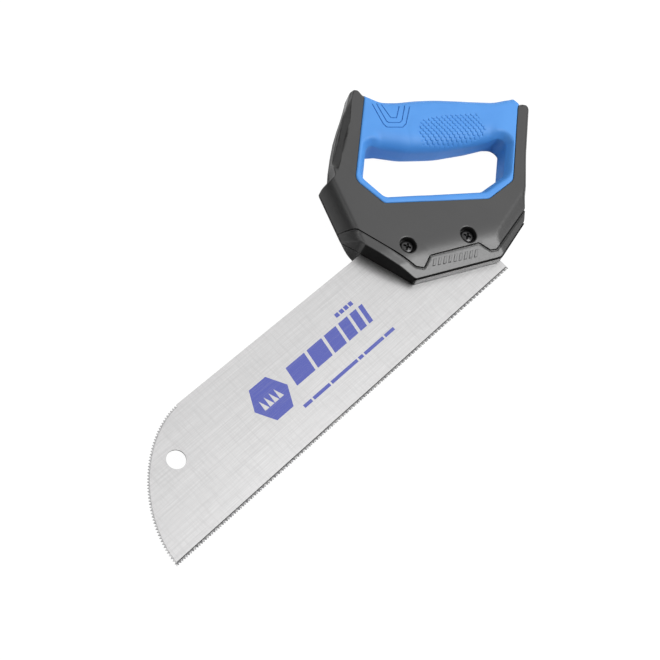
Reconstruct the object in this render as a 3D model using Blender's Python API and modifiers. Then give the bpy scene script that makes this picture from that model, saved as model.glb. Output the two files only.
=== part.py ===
"""Drywall saw, fine toothed, with a closed handle and a bolted blade.

The saw lies on its side. +X runs along the cutting edge from the toe to the
handle, +Y from the cutting edge to the spine, +Z up through the thickness.
Every design point below is given in millimetres in the blade's own plan:
x from the toe tip, y from the tips of the straight teeth, z from the middle
of the blade. One empty carries the whole saw to its resting frame, whose
origin is the centre of the underside.
"""

import math

import bmesh
import bpy
from mathutils import Matrix, Vector

MM = 0.001

# ---------------------------------------------------------------- dimensions
OVERALL_LENGTH = 411.0
OVERALL_WIDTH = 159.2

EDGE_LENGTH = 305.0  # toe tip to heel
BLADE_WIDTH = 70.4  # tooth tips to spine
BLADE_THICK = 1.0
TOOTH_PITCH = 1.65
TOOTH_DEPTH = 1.1
NOSE_LENGTH = 66.0  # toe tip to where the curved nose meets the spine
NOSE_POWER = 1.76  # 2 would be a quarter ellipse
HANG_HOLE = (42.6, 45.8)
HANG_HOLE_D = 11.7
TANG_CORNER = (278.0, 52.6)  # the tang's rear top corner is cut from here

SHELL_HALF = 13.2  # middle of the blade to a shell's face
GRIP_HALF = 13.4  # and to the soft grip's face
SHELL_ROUND = 3.5
GRIP_ROUND = 7.0
SKIN = 3.0  # thickness of the soft grip
GAP = 0.3
PART_LINE = 0.15  # half the gap between the shells

SCREWS = (("front", (252.8, 53.2)), ("rear", (292.5, 33.0)))
SCREW_D = 4.4
SCREW_HEAD_D = 9.6
SCREW_HEAD_H = 3.2
SCREW_SEAT = 7.6  # height of the recess floor above the blade's middle
RECESS_D = 11.3
NUT_FLATS = 8.0
NUT_H = 4.0
PINS = ((243.5, 98.0), (302.5, 147.6), (388.0, 62.8))
PIN_D = 4.0
PIN_REACH = 3.0

LOW_EDGE = 7.4  # height of the plate's lower rim above the blade's middle
LOW_SLOPE = 15.0  # width of the band that falls to it
NOSE_EDGE = 1.0  # height at which the front block's slope meets its outline
NOSE_SLOPE = 9.4  # width of that slope
SPINE_EDGE = 5.5  # and the same for the chamfer along the front spine
SPINE_SLOPE = 3.7

# Outlines: x, y, corner radius.
BODY = (
    (241.9, 34.2, 3.6),
    (229.8, 70.0, 6.0),
    (229.7, 73.6, 6.0),
    (225.5, 84.2, 4.0),
    (239.4, 118.2, 5.0),
    (253.6, 121.9, 9.0),
    (277.5, 139.2, 150.0),
    (298.0, 152.0, 120.0),
    (314.2, 161.0, 3.8),
    (317.8, 149.5, 8.0),
    (323.2, 142.8, 9.0),
    (334.0, 135.0, 30.0),
    (370.0, 111.4, 100.0),
    (398.0, 89.0, 5.0),
    (402.4, 80.9, 3.6),
    (409.4, 80.0, 3.8),
    (410.6, 73.6, 4.5),
    (377.0, 48.6, 150.0),
    (352.0, 28.2, 100.0),
    (336.8, 15.7, 6.0),
    (302.6, 8.4, 6.0),
)
OPENING = (
    (267.9, 106.9, 4.0),
    (269.5, 88.4, 4.0),
    (328.7, 49.8, 6.0),
    (352.4, 48.2, 8.0),
    (380.0, 68.4, 5.0),
    (353.0, 79.2, 60.0),
    (331.0, 89.8, 60.0),
    (310.0, 103.8, 40.0),
    (289.6, 124.0, 6.0),
)
GRIP_FRAME = (  # where the soft grip ends, run on past the body outside it
    (336.0, 168.4, 0.0),
    (314.1, 150.2, 60.0),
    (260.0, 108.4, 8.0),
    (263.0, 84.2, 4.0),
    (325.8, 42.2, 6.0),
    (351.4, 41.2, 8.0),
    (402.9, 79.4, 60.0),
    (430.0, 100.0, 0.0),
)
GRIP_OUTER = (  # the grip's back, closed round far outside the soft grip
    (317.6, 178.0, 0.0),
    (319.2, 150.2, 8.0),
    (323.2, 142.8, 12.0),
    (334.0, 135.2, 30.0),
    (345.0, 129.0, 60.0),
    (357.0, 121.2, 100.0),
    (370.0, 111.6, 100.0),
    (384.0, 100.8, 60.0),
    (394.0, 93.6, 40.0),
    (403.0, 88.6, 20.0),
    (428.0, 79.0, 0.0),
    (428.0, -30.0, 0.0),
    (180.0, -30.0, 0.0),
    (180.0, 178.0, 0.0),
)
GRIP_POCKET = (
    (299.0, 126.5, 2.0),
    (321.0, 134.0, 3.0),
    (341.0, 121.5, 40.0),
    (381.0, 93.0, 40.0),
    (392.0, 85.0, 3.0),
    (362.0, 82.5, 20.0),
    (340.0, 92.5, 40.0),
    (321.0, 105.0, 20.0),
)
GROOVE = (  # centre line of the groove that frames the plate
    (224.0, 95.0, 0.0),
    (233.4, 83.0, 4.0),
    (247.2, 39.6, 3.0),
    (251.4, 35.6, 2.0),
    (260.0, 39.0, 3.0),
    (294.6, 24.4, 3.0),
    (298.6, 16.0, 2.0),
    (302.8, 13.8, 2.0),
    (345.0, 21.6, 0.0),
)

# ------------------------------------------------------------------ clean up
for old in list(bpy.data.objects):
    bpy.data.objects.remove(old, do_unlink=True)


def collection(name, hidden):
    made = bpy.data.collections.new(name)
    bpy.context.scene.collection.children.link(made)
    made.hide_render = hidden
    return made


SAW = collection("drywall_saw", False)
CUTTERS = collection("cutters", True)

origin = bpy.data.objects.new("resting_frame", None)
SAW.objects.link(origin)
origin.location = Vector(
    (-OVERALL_LENGTH / 2, -OVERALL_WIDTH / 2, GRIP_HALF)
) * MM


# ----------------------------------------------------------------- materials
def material(name, colour, roughness, metallic=0.0):
    made = bpy.data.materials.new(name)
    made.use_nodes = True
    shader = made.node_tree.nodes["Principled BSDF"]
    shader.inputs["Base Color"].default_value = (*colour, 1.0)
    shader.inputs["Roughness"].default_value = roughness
    shader.inputs["Metallic"].default_value = metallic
    made.diffuse_color = (*colour, 1.0)
    return made


def per_part(name, base):
    """Each sub-part has a material of its own, a copy of its kind's."""
    made = base.copy()
    made.name = name + "_material"
    return made


STEEL = material("blade_steel", (0.62, 0.62, 0.62), 0.32, 1.0)
BLACK = material("black_plastic", (0.028, 0.028, 0.030), 0.5)
BLUE = material("blue_soft_grip", (0.045, 0.235, 0.80), 0.55)
FASTENER = material("fastener_steel", (0.10, 0.10, 0.105), 0.3, 0.9)


# ------------------------------------------------------------------- shaping
def rounded(corners, closed=True, step=math.radians(15)):
    """Points of a polygon whose corners (x, y, radius) are turned to arcs."""
    points, count = [], len(corners)
    for i, (x, y, radius) in enumerate(corners):
        here = Vector((x, y))
        ends = not closed and i in (0, count - 1)
        if ends or radius <= 0:
            points.append(here)
            continue
        before = Vector(corners[i - 1][:2]) - here
        after = Vector(corners[(i + 1) % count][:2]) - here
        turn = math.pi - before.angle(after)
        reach = radius * math.tan(turn / 2)
        most = 0.49 * min(before.length, after.length)
        if reach > most:
            radius *= most / reach
            reach = most
        start = here + before.normalized() * reach
        inward = (before.normalized() + after.normalized()).normalized()
        centre = here + inward * math.hypot(radius, reach)
        spoke = start - centre
        end = here + after.normalized() * reach - centre
        sign = 1 if spoke.x * end.y - spoke.y * end.x > 0 else -1
        parts = max(1, round(turn / step))
        for k in range(parts + 1):
            angle = sign * turn * k / parts
            cos, sin = math.cos(angle), math.sin(angle)
            points.append(
                centre
                + Vector(
                    (spoke.x * cos - spoke.y * sin, spoke.x * sin + spoke.y * cos)
                )
            )
    return points


def circle(at, d, sides):
    turns = [2 * math.pi * k / sides for k in range(sides)]
    return [
        Vector((at[0] + d / 2 * math.cos(t), at[1] + d / 2 * math.sin(t)))
        for t in turns
    ]


def area(points):
    pairs = zip(points, points[1:] + points[:1])
    return sum(a.x * b.y - a.y * b.x for a, b in pairs) / 2


def grown(points, by):
    """The closed outline moved outward by a distance, corners mitred."""
    sign = 1 if area(points) > 0 else -1
    out, count = [], len(points)
    for i, here in enumerate(points):
        a = (here - points[i - 1]).normalized()
        b = (points[(i + 1) % count] - here).normalized()
        normal = Vector((a.y + b.y, -a.x - b.x)).normalized() * sign
        lean = max(0.4, normal.dot(Vector((b.y, -b.x)) * sign))
        out.append(here + normal * by / lean)
    return out


def spline(curve, points, closed=True):
    run = curve.splines.new("POLY")
    run.points.add(len(points) - 1)
    for point, at in zip(run.points, points):
        point.co = (at.x * MM, at.y * MM, 0.0, 1.0)
    run.use_cyclic_u = closed


def as_mesh(obj, home):
    """The evaluated mesh of a curve object, welded, in an object of its own."""
    bpy.context.view_layer.update()
    graph = bpy.context.evaluated_depsgraph_get()
    data = bpy.data.meshes.new_from_object(obj.evaluated_get(graph))
    work = bmesh.new()
    work.from_mesh(data)
    bmesh.ops.remove_doubles(work, verts=work.verts, dist=2e-6)
    bmesh.ops.recalc_face_normals(work, faces=work.faces)
    work.to_mesh(data)
    work.free()
    made = bpy.data.objects.new(obj.name + "_mesh", data)
    made.matrix_world = obj.matrix_world.copy()
    home.objects.link(made)
    name = obj.name
    bpy.data.objects.remove(obj, do_unlink=True)
    made.name = name
    made.parent = origin
    return made


def plate(name, outlines, low, high, home, edge=0.0, steps=3):
    """A flat solid from one outline and any holes in it, its rims rounded."""
    curve = bpy.data.curves.new(name, "CURVE")
    curve.dimensions = "2D"
    curve.fill_mode = "BOTH"
    curve.extrude = ((high - low) / 2 - edge) * MM
    curve.bevel_depth = edge * MM
    curve.bevel_resolution = steps - 1
    curve.offset = -edge * MM
    for points in outlines:
        spline(curve, points)
    obj = bpy.data.objects.new(name, curve)
    obj.location.z = (high + low) / 2 * MM
    home.objects.link(obj)
    return as_mesh(obj, home)


def hide(obj):
    obj.hide_render = True
    obj.display_type = "WIRE"
    return obj


def cutter(name, outlines, low, high):
    return hide(plate(name, outlines, low, high, CUTTERS))


def primitive(name, home, **shape):
    data = bpy.data.meshes.new(name)
    work = bmesh.new()
    if "sides" in shape:
        bmesh.ops.create_cone(
            work,
            cap_ends=True,
            segments=shape["sides"],
            radius1=shape["d"] / 2 * MM,
            radius2=shape.get("d2", shape["d"]) / 2 * MM,
            depth=(shape["high"] - shape["low"]) * MM,
        )
    else:
        bmesh.ops.create_cube(work, size=1.0)
        bmesh.ops.scale(work, vec=Vector(shape["size"]) * MM, verts=work.verts)
    work.to_mesh(data)
    work.free()
    obj = bpy.data.objects.new(name, data)
    home.objects.link(obj)
    obj.parent = origin
    if "sides" in shape:
        x, y = shape["at"]
        obj.location = Vector((x, y, (shape["high"] + shape["low"]) / 2)) * MM
    return obj


def hole(name, at, d, low, high, sides=32):
    return hide(
        primitive(name, CUTTERS, sides=sides, at=at, d=d, low=low, high=high)
    )


def boolean(obj, other, operation="DIFFERENCE"):
    step = obj.modifiers.new(other.name, "BOOLEAN")
    step.operation = operation
    step.solver = "EXACT"
    step.object = other
    return step


def ramp(name, a, b, width, edge_z, face_z, side):
    """A box whose lower face rises inward from edge a-b, to cut a slope."""
    along = Vector((b[0] - a[0], b[1] - a[1], 0.0))
    length = along.length
    along.normalize()
    inward = Vector((-along.y, along.x, 0.0))
    rise = (inward * width + Vector((0, 0, face_z - edge_z))).normalized()
    up = along.cross(rise)
    size = (length + 30.0, 60.0, 20.0)
    box = primitive(name, CUTTERS, size=size)
    middle = Vector((*a, edge_z)) + along * length / 2 + up * size[2] / 2
    turn = Matrix((along, rise, up)).transposed()
    for vertex in box.data.vertices:
        at = turn @ (vertex.co / MM) + middle
        vertex.co = Vector((at.x, at.y, at.z * side)) * MM
    if side < 0:
        box.data.flip_normals()
    return hide(box)


def turned(name, profile, at, home, steps=32):
    """A turned solid from its half section, top to bottom, (radius, z)."""
    data = bpy.data.meshes.new(name)
    data.from_pydata(
        [(r * MM, 0.0, z * MM) for r, z in profile],
        [(i, i + 1) for i in range(len(profile) - 1)],
        [],
    )
    obj = bpy.data.objects.new(name, data)
    home.objects.link(obj)
    obj.parent = origin
    obj.location = Vector((*at, 0.0)) * MM
    spin = obj.modifiers.new("turn", "SCREW")
    spin.steps = spin.render_steps = steps
    spin.use_merge_vertices = True
    spin.merge_threshold = 1e-6
    return obj


def finish(obj, base):
    obj.data.materials.clear()
    obj.data.materials.append(per_part(obj.name, base))
    return obj


# --------------------------------------------------------------------- blade
def toothed(points, pitch, depth):
    """A run of teeth along a line of close points, tips on the line."""
    lengths = [0.0]
    for a, b in zip(points, points[1:]):
        lengths.append(lengths[-1] + (b - a).length)
    count = int(lengths[-1] / pitch)
    real = lengths[-1] / count

    def at(s):
        i = max(k for k, v in enumerate(lengths) if v <= s + 1e-9)
        i = min(i, len(points) - 2)
        way = (points[i + 1] - points[i]).normalized()
        return points[i] + way * (s - lengths[i]), Vector((-way.y, way.x))

    out = []
    for k in range(count):
        tip, _ = at(k * real)
        root, inward = at((k + 0.42) * real)
        out += [tip, root + inward * depth]
    out.append(points[-1])
    return out


def blade():
    nose = []
    for k in range(61):
        t = math.pi / 2 * k / 60
        nose.append(
            Vector(
                (
                    NOSE_LENGTH * (1 - math.cos(t) ** (2 / NOSE_POWER)),
                    BLADE_WIDTH * math.sin(t) ** (2 / NOSE_POWER),
                )
            )
        )
    straight = toothed(
        [Vector((0.0, 0.0)), Vector((EDGE_LENGTH, 0.0))],
        TOOTH_PITCH,
        TOOTH_DEPTH,
    )
    curved = toothed(nose[::-1], TOOTH_PITCH, TOOTH_DEPTH * 0.8)
    back = [
        Vector((EDGE_LENGTH, TANG_CORNER[1])),
        Vector((TANG_CORNER[0], BLADE_WIDTH)),
    ]
    holes = [circle(HANG_HOLE, HANG_HOLE_D, 40)]
    holes += [circle(at, SCREW_D + 0.9, 24) for _, at in SCREWS]
    obj = plate(
        "saw_blade",
        [straight + back + curved[:-1]] + holes,
        -BLADE_THICK / 2,
        BLADE_THICK / 2,
        SAW,
    )
    return finish(obj, STEEL)


# -------------------------------------------------------------------- handle
body_line = rounded(BODY)
opening_line = rounded(OPENING)
grip_line = rounded(GRIP_FRAME)
back_line = rounded(GRIP_OUTER)


def groove_line():
    middle = rounded(GROOVE, closed=False)
    sides = ([], [])
    for i, here in enumerate(middle):
        a = middle[max(i - 1, 0)]
        b = middle[min(i + 1, len(middle) - 1)]
        way = (b - a).normalized()
        for side, sign in zip(sides, (1, -1)):
            side.append(here + Vector((-way.y, way.x)) * 0.45 * sign)
    return sides[0] + sides[1][::-1]


def shell(name, side):
    """One moulded half. side is 1 for the upper half, -1 for the lower."""
    obj = plate(
        name, [body_line], -SHELL_HALF, SHELL_HALF, SAW, SHELL_ROUND, 3
    )

    def cut(kind, outlines, low, high):
        low, high = sorted((low * side, high * side))
        boolean(obj, cutter(f"{name}_{kind}", outlines, low, high))

    def drill(kind, at, d, low, high, sides=32):
        low, high = sorted((low * side, high * side))
        boolean(obj, hole(f"{name}_{kind}", at, d, low, high, sides))

    field = ((150, -50, 0), (450, -50, 0), (450, 250, 0), (150, 250, 0))
    cut("other_half", [rounded(field)], -20, PART_LINE)
    # the slopes of the front block and of the plate's lower rim
    slopes = (
        ("nose", (239.4, 118.2), (225.5, 84.2), NOSE_SLOPE, NOSE_EDGE),
        ("low", (241.9, 34.2), (302.6, 8.4), LOW_SLOPE, LOW_EDGE),
        ("heel", (302.6, 8.4), (336.8, 15.7), LOW_SLOPE, LOW_EDGE),
        ("spine", (314.2, 161.0), (277.5, 139.2), SPINE_SLOPE, SPINE_EDGE),
    )
    for kind, a, b, width, edge in slopes:
        slope = ramp(f"{name}_{kind}_slope", a, b, width, edge, SHELL_HALF, side)
        boolean(obj, slope)
    # under the soft grip the shell is a core, thinner all round
    cut("grip_seat", [grown(grip_line, GAP)], SHELL_HALF - SKIN, 20)
    back = cutter(name + "_grip_back", [grown(grip_line, GAP)], -20, 20)
    boolean(back, cutter(name + "_core", [grown(back_line, -SKIN)], -22, 22))
    boolean(obj, back)
    cut("opening", [grown(opening_line, SKIN)], -21, 21)
    cut("core_pocket", [rounded(GRIP_POCKET)], -1, SHELL_HALF - SKIN - 3.2)
    # the tang's seat: half the blade, and clearance
    seat = rounded(
        (
            (200.0, -20.0, 0.0),
            (EDGE_LENGTH + GAP, -20.0, 0.0),
            (EDGE_LENGTH + GAP, TANG_CORNER[1] + 0.2, 0.0),
            (TANG_CORNER[0] + 0.2, BLADE_WIDTH + GAP, 0.0),
            (200.0, BLADE_WIDTH + GAP, 0.0),
        )
    )
    cut("tang_seat", [seat], -1, BLADE_THICK / 2 + GAP)
    cut("groove", [groove_line()], LOW_EDGE + 1.2, 20)
    for which, at in SCREWS:
        drill("bolt_hole_" + which, at, SCREW_D + 0.8, -2, 20, 24)
        if side > 0:
            drill("recess_" + which, at, RECESS_D, SCREW_SEAT, 20, 40)
        else:
            pocket = 2 * (NUT_FLATS / 2 + GAP) / math.cos(math.pi / 6)
            drill("nut_pocket_" + which, at, pocket, SCREW_SEAT, 20, 6)
    for k, at in enumerate(PINS, 1):
        if side > 0:
            drill(f"socket_{k}", at, PIN_D + 2 * GAP, -1, PIN_REACH + 0.5, 20)
        else:
            pin = hole(f"{name}_pin_{k}", at, PIN_D, -5.0, PIN_REACH, 20)
            boolean(obj, pin, "UNION")
    return finish(obj, BLACK)


def grip():
    """The soft ring: a sleeve on the grip's core and a rim on the opening."""
    obj = plate(
        "soft_grip",
        [back_line, opening_line],
        -GRIP_HALF,
        GRIP_HALF,
        SAW,
        GRIP_ROUND,
        4,
    )
    boolean(obj, cutter("grip_frame", [grip_line], -20, 20), "INTERSECT")
    boolean(
        obj,
        cutter(
            "grip_core",
            [grown(back_line, GAP - SKIN), grown(opening_line, SKIN - GAP)],
            GAP - (SHELL_HALF - SKIN) - 2 * GAP,
            SHELL_HALF - SKIN + GAP,
        ),
    )
    return finish(obj, BLUE)


# ----------------------------------------------------------------- fasteners
def screw(which, at):
    r, d = SCREW_HEAD_D / 2, SCREW_D / 2
    seat = SCREW_SEAT + GAP
    top = seat + SCREW_HEAD_H
    end = -(SCREW_SEAT + NUT_H + 0.6)
    profile = [(0.0, top)]
    for k in range(1, 5):
        t = math.radians(22.5 * k)
        profile.append(
            (r * (0.62 + 0.38 * math.sin(t)) if k else 0, top - 1.3 * (1 - math.cos(t)))
        )
    profile += [(r, seat), (d, seat), (d, end + 0.6), (d - 0.6, end), (0.0, end)]
    obj = turned(f"{which}_screw", profile, at, SAW)
    for k, turn in enumerate((28.0, 118.0)):
        slot = primitive(f"{which}_cross_{k}", CUTTERS, size=(5.2, 1.15, 3.6))
        slot.location = Vector((*at, top + 0.2)) * MM
        slot.rotation_euler.z = math.radians(turn)
        boolean(obj, hide(slot))
    return finish(obj, FASTENER)


def nut(which, at):
    low = -(SCREW_SEAT + GAP + NUT_H)
    obj = primitive(
        f"{which}_hex_nut",
        SAW,
        sides=6,
        at=at,
        d=NUT_FLATS / math.cos(math.pi / 6),
        low=low,
        high=low + NUT_H,
    )
    boolean(obj, hole(f"{which}_nut_bore", at, SCREW_D + 2 * GAP, -20, 5, 24))
    return finish(obj, FASTENER)


blade()
shell("upper_handle_shell", 1)
shell("lower_handle_shell", -1)
grip()
for which, at in SCREWS:
    screw(which, at)
    nut(which, at)

for obj in SAW.objects:
    if obj.type == "MESH":
        obj.data.set_sharp_from_angle(angle=math.radians(30))
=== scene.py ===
"""Studio scene of the fine-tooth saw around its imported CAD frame.

Design points are in millimetres in the blade's own plan, as in the CAD: x from
the toe tip along the cutting edge, y from the tooth tips to the spine, z from
the middle of the blade. ORIGIN carries them to the row frame.
"""

import math

import bpy
import numpy as np
from mathutils import Matrix, Vector
from mathutils.geometry import delaunay_2d_cdt
from mathutils.kdtree import KDTree


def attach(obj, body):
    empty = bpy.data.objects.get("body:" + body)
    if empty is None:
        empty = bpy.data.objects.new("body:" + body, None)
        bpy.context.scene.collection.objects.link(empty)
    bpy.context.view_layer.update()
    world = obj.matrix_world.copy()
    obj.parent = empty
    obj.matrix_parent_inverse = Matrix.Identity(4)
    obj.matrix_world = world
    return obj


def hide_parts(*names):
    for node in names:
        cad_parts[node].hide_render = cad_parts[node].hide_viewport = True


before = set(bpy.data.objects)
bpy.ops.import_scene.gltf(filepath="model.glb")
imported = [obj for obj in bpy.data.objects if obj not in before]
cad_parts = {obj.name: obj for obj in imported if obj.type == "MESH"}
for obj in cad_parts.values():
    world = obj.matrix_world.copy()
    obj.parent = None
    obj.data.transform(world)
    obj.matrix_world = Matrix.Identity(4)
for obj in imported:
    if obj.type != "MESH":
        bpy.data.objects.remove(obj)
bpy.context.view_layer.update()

ORIGIN = np.array([-205.5, -79.6, 13.4])
SCENE = bpy.context.scene
SCENE.view_settings.view_transform = "Standard"
SCENE.view_settings.look = "None"

# ----------------------------------------------------------------- dimensions
EDGE_LENGTH = 305.0
BLADE_WIDTH = 70.4
BLADE_HALF = 0.5
TOOTH_PITCH = 1.65
TOOTH_DEPTH = 1.3
NOSE_LENGTH = 66.0
NOSE_POWER = 1.76
HANG_HOLE = (42.6, 45.8)
HANG_HOLE_D = 11.7
TANG_CORNER = (278.0, 52.6)
SHELL_TOP = 13.2
GRIP_TOP = 13.4
SEAM = 0.2
SCREWS = (("front", (252.8, 53.2)), ("rear", (292.5, 33.0)))
RECESS_R = 5.65
RECESS_FLOOR = 7.6
BOLT_R = 2.6

BODY = (
    (241.9, 34.2, 3.6), (229.8, 70.0, 6.0), (229.7, 73.6, 6.0), (225.5, 84.2, 4.0),
    (240.0, 119.6, 4.5), (251.0, 118.4, 5.0), (256.6, 125.8, 5.0),
    (276.5, 140.6, 150.0), (298.2, 152.0, 120.0), (313.1, 161.45, 4.2),
    (317.2, 149.5, 8.0), (323.2, 142.8, 9.0), (334.0, 135.0, 30.0),
    (370.0, 111.4, 100.0), (396.0, 92.6, 20.0), (404.6, 88.0, 3.0),
    (406.6, 80.8, 1.5), (409.4, 79.4, 3.4), (410.6, 73.6, 4.5),
    (377.0, 48.6, 150.0), (352.0, 28.2, 100.0), (336.8, 15.7, 6.0), (302.6, 8.4, 6.0),
)
OPENING = (
    (267.9, 106.9, 4.0), (269.5, 88.4, 4.0), (328.7, 49.8, 6.0), (352.4, 48.2, 8.0),
    (380.0, 68.4, 5.0), (353.0, 79.2, 60.0), (331.0, 89.8, 60.0),
    (310.0, 103.8, 40.0), (289.6, 124.0, 6.0),
)
GRIP_FRAME = (
    (336.0, 168.4, 0.0), (314.1, 150.2, 60.0), (260.0, 108.4, 8.0), (263.0, 84.2, 4.0),
    (325.8, 42.2, 6.0), (351.4, 41.2, 8.0), (402.9, 79.4, 12.0), (430.0, 82.5, 0.0),
)
GRIP_OUTER = (
    (315.4, 178.0, 0.0), (317.0, 151.0, 6.0), (321.6, 142.4, 12.0),
    (333.6, 134.8, 30.0), (345.0, 128.6, 60.0), (357.0, 121.0, 100.0),
    (370.0, 111.2, 100.0), (384.0, 100.2, 60.0), (394.0, 92.6, 40.0),
    (402.6, 88.2, 10.0), (407.2, 86.2, 2.6), (408.2, 78.0, 0.0),
    (428.0, 60.0, 0.0), (428.0, -30.0, 0.0),
    (180.0, -30.0, 0.0), (180.0, 178.0, 0.0),
)
GROOVE = (
    (224.0, 95.0, 0.0), (233.4, 83.0, 4.0), (247.2, 39.6, 3.0), (251.4, 35.6, 2.0),
    (260.0, 39.0, 3.0), (294.6, 24.4, 3.0), (298.6, 16.0, 2.0), (302.8, 13.8, 2.0),
    (345.0, 21.6, 0.0),
)
CHEVRONS = (
    ((313.4, 142.5, 0), (308.0, 127.0, 1.2), (308.1, 123.6, 1), (317.4, 117.0, 1.2),
     (321.7, 117.6, 1), (334.6, 125.7, 0)),
    ((316.0, 140.4, 0), (311.5, 127.0, 0.8), (312.0, 125.4, 0.7), (318.5, 120.8, 0.8),
     (321.1, 121.0, 0.7), (331.9, 128.0, 0)),
    ((318.5, 138.2, 0), (316.1, 127.2, 0.6), (319.4, 124.7, 0.6), (328.2, 130.1, 0)),
)
SCALES = (
    (333.6, 113.0), (346.2, 108.0), (370.4, 93.6), (368.3, 80.9), (362.4, 78.6),
    (352.0, 81.2), (334.8, 89.4), (321.4, 99.2), (322.8, 106.2), (327.4, 110.6),
)
PANEL = (
    (329.6, 118.6, 3.0), (357.4, 108.0, 30.0), (374.6, 96.6, 2.5), (376.4, 84.6, 3.0),
    (366.0, 74.0, 4.0), (331.0, 89.0, 40.0), (314.0, 104.0, 4.0), (320.4, 113.6, 3.0),
)


# -------------------------------------------------------------------- outlines
def rounded(corners, closed=True, step=math.radians(6)):
    """Points of a polygon whose corners (x, y, radius) are turned to arcs."""
    points, count = [], len(corners)
    for i, (x, y, radius) in enumerate(corners):
        here = Vector((x, y))
        if (not closed and i in (0, count - 1)) or radius <= 0:
            points.append(here)
            continue
        before = Vector(corners[i - 1][:2]) - here
        after = Vector(corners[(i + 1) % count][:2]) - here
        turn = math.pi - before.angle(after)
        reach = radius * math.tan(turn / 2)
        most = 0.49 * min(before.length, after.length)
        if reach > most:
            radius *= most / reach
            reach = most
        start = here + before.normalized() * reach
        inward = (before.normalized() + after.normalized()).normalized()
        centre = here + inward * math.hypot(radius, reach)
        spoke = start - centre
        end = here + after.normalized() * reach - centre
        sign = 1 if spoke.x * end.y - spoke.y * end.x > 0 else -1
        parts = max(2, round(turn / step))
        for k in range(parts + 1):
            angle = sign * turn * k / parts
            cos, sin = math.cos(angle), math.sin(angle)
            points.append(
                centre
                + Vector((spoke.x * cos - spoke.y * sin, spoke.x * sin + spoke.y * cos))
            )
    return np.array([tuple(p) for p in points])


def dense(line, step, closed=True):
    """The line with its long segments cut to no more than step."""
    out = []
    ends = len(line) if closed else len(line) - 1
    for i in range(ends):
        a, b = line[i], line[(i + 1) % len(line)]
        length = float(np.hypot(*(b - a)))
        if length < 1e-4:
            continue
        parts = max(1, math.ceil(length / step))
        out += [a + (b - a) * k / parts for k in range(parts)]
    if not closed:
        out.append(line[-1])
    return np.array(out)


def signed_area(line):
    x, y = line[:, 0], line[:, 1]
    return float(np.sum(x * np.roll(y, -1) - np.roll(x, -1) * y)) / 2


def normals(line, closed=True):
    """Unit normals to the left of each point's way, and how far to lean out."""
    if closed:
        a = line - np.roll(line, 1, axis=0)
        b = np.roll(line, -1, axis=0) - line
    else:
        a = np.vstack([line[1] - line[0], line[1:] - line[:-1]])
        b = np.vstack([line[1:] - line[:-1], line[-1] - line[-2]])
    a /= np.maximum(np.hypot(a[:, 0], a[:, 1]), 1e-9)[:, None]
    b /= np.maximum(np.hypot(b[:, 0], b[:, 1]), 1e-9)[:, None]
    n = np.c_[-(a + b)[:, 1], (a + b)[:, 0]]
    n /= np.maximum(np.hypot(n[:, 0], n[:, 1]), 1e-9)[:, None]
    lean = np.maximum(0.4, n[:, 0] * -b[:, 1] + n[:, 1] * b[:, 0])
    return n, lean


def moved(line, by, closed=True):
    """The line moved to the left of its way."""
    n, lean = normals(line, closed)
    return line + n * (by / lean)[:, None]


def inward(line, by):
    return moved(line, by if signed_area(line) > 0 else -by)


def distance(points, line, closed=True):
    """Unsigned distance of each point from the line."""
    a = line if closed else line[:-1]
    b = np.roll(line, -1, axis=0) if closed else line[1:]
    ab = b - a
    square = np.maximum((ab**2).sum(1), 1e-12)
    out = np.empty(len(points))
    for i in range(0, len(points), 1500):
        p = points[i : i + 1500]
        ap = p[:, None, :] - a[None]
        t = np.clip((ap * ab[None]).sum(2) / square, 0, 1)
        gap = ap - t[..., None] * ab[None]
        out[i : i + 1500] = np.sqrt((gap**2).sum(2).min(1))
    return out


def within(points, line):
    a, b = line, np.roll(line, -1, axis=0)
    out = np.empty(len(points), bool)
    for i in range(0, len(points), 3000):
        p = points[i : i + 3000]
        y = p[:, 1:2]
        crossing = (a[None, :, 1] > y) != (b[None, :, 1] > y)
        dy = np.where(np.abs(b[:, 1] - a[:, 1]) < 1e-12, 1e-12, b[:, 1] - a[:, 1])
        x = a[:, 0] + (y - a[:, 1]) / dy * (b[:, 0] - a[:, 0])
        out[i : i + 3000] = (crossing & (p[:, 0:1] < x)).sum(1) % 2 == 1
    return out


def inset(points, line):
    """Distance inside the closed line, negative outside it."""
    gap = distance(points, line)
    return np.where(within(points, line), gap, -gap)


def from_edge(points, a, b):
    """Distance to the left of the straight line from a to b."""
    a, b = np.array(a, float), np.array(b, float)
    way = (b - a) / np.hypot(*(b - a))
    return (points - a) @ np.array([-way[1], way[0]])


def ring(line, by):
    """Runs of points at a distance inside the line, kinks left out."""
    points = inward(line, by)
    good = np.abs(inset(points, line) - by) < 0.02 + 0.03 * abs(by)
    runs, run = [], []
    for point, keep in zip(points, good):
        if keep:
            run.append(point)
        elif run:
            runs.append(np.array(run))
            run = []
    if run:
        if runs and good[0]:
            runs[0] = np.vstack([np.array(run), runs[0]])
        else:
            runs.append(np.array(run))
            if good.all():
                runs[0] = np.vstack([runs[0], runs[0][:1]])
    return [r for r in runs if len(r) > 1]


def circle(at, r, sides=64):
    t = np.linspace(0, 2 * math.pi, sides, endpoint=False)
    return np.c_[at[0] + r * np.cos(t), at[1] + r * np.sin(t)]


def smooth(x, low, high):
    t = np.clip((x - low) / (high - low), 0, 1)
    return t * t * (3 - 2 * t)


def drop(d, a, b):
    """How far an elliptic rounding, a wide and b deep, falls at distance d."""
    t = np.clip(1 - d / a, 0, 1)
    return b * (1 - np.sqrt(np.maximum(0, 1 - t * t)))


def nearest(points, others):
    """Distance from each point to the nearest of the others."""
    tree = KDTree(len(others))
    for i, at in enumerate(others):
        tree.insert((at[0], at[1], 0.0), i)
    tree.balance()
    return np.array([tree.find((at[0], at[1], 0.0))[2] for at in points])


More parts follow.
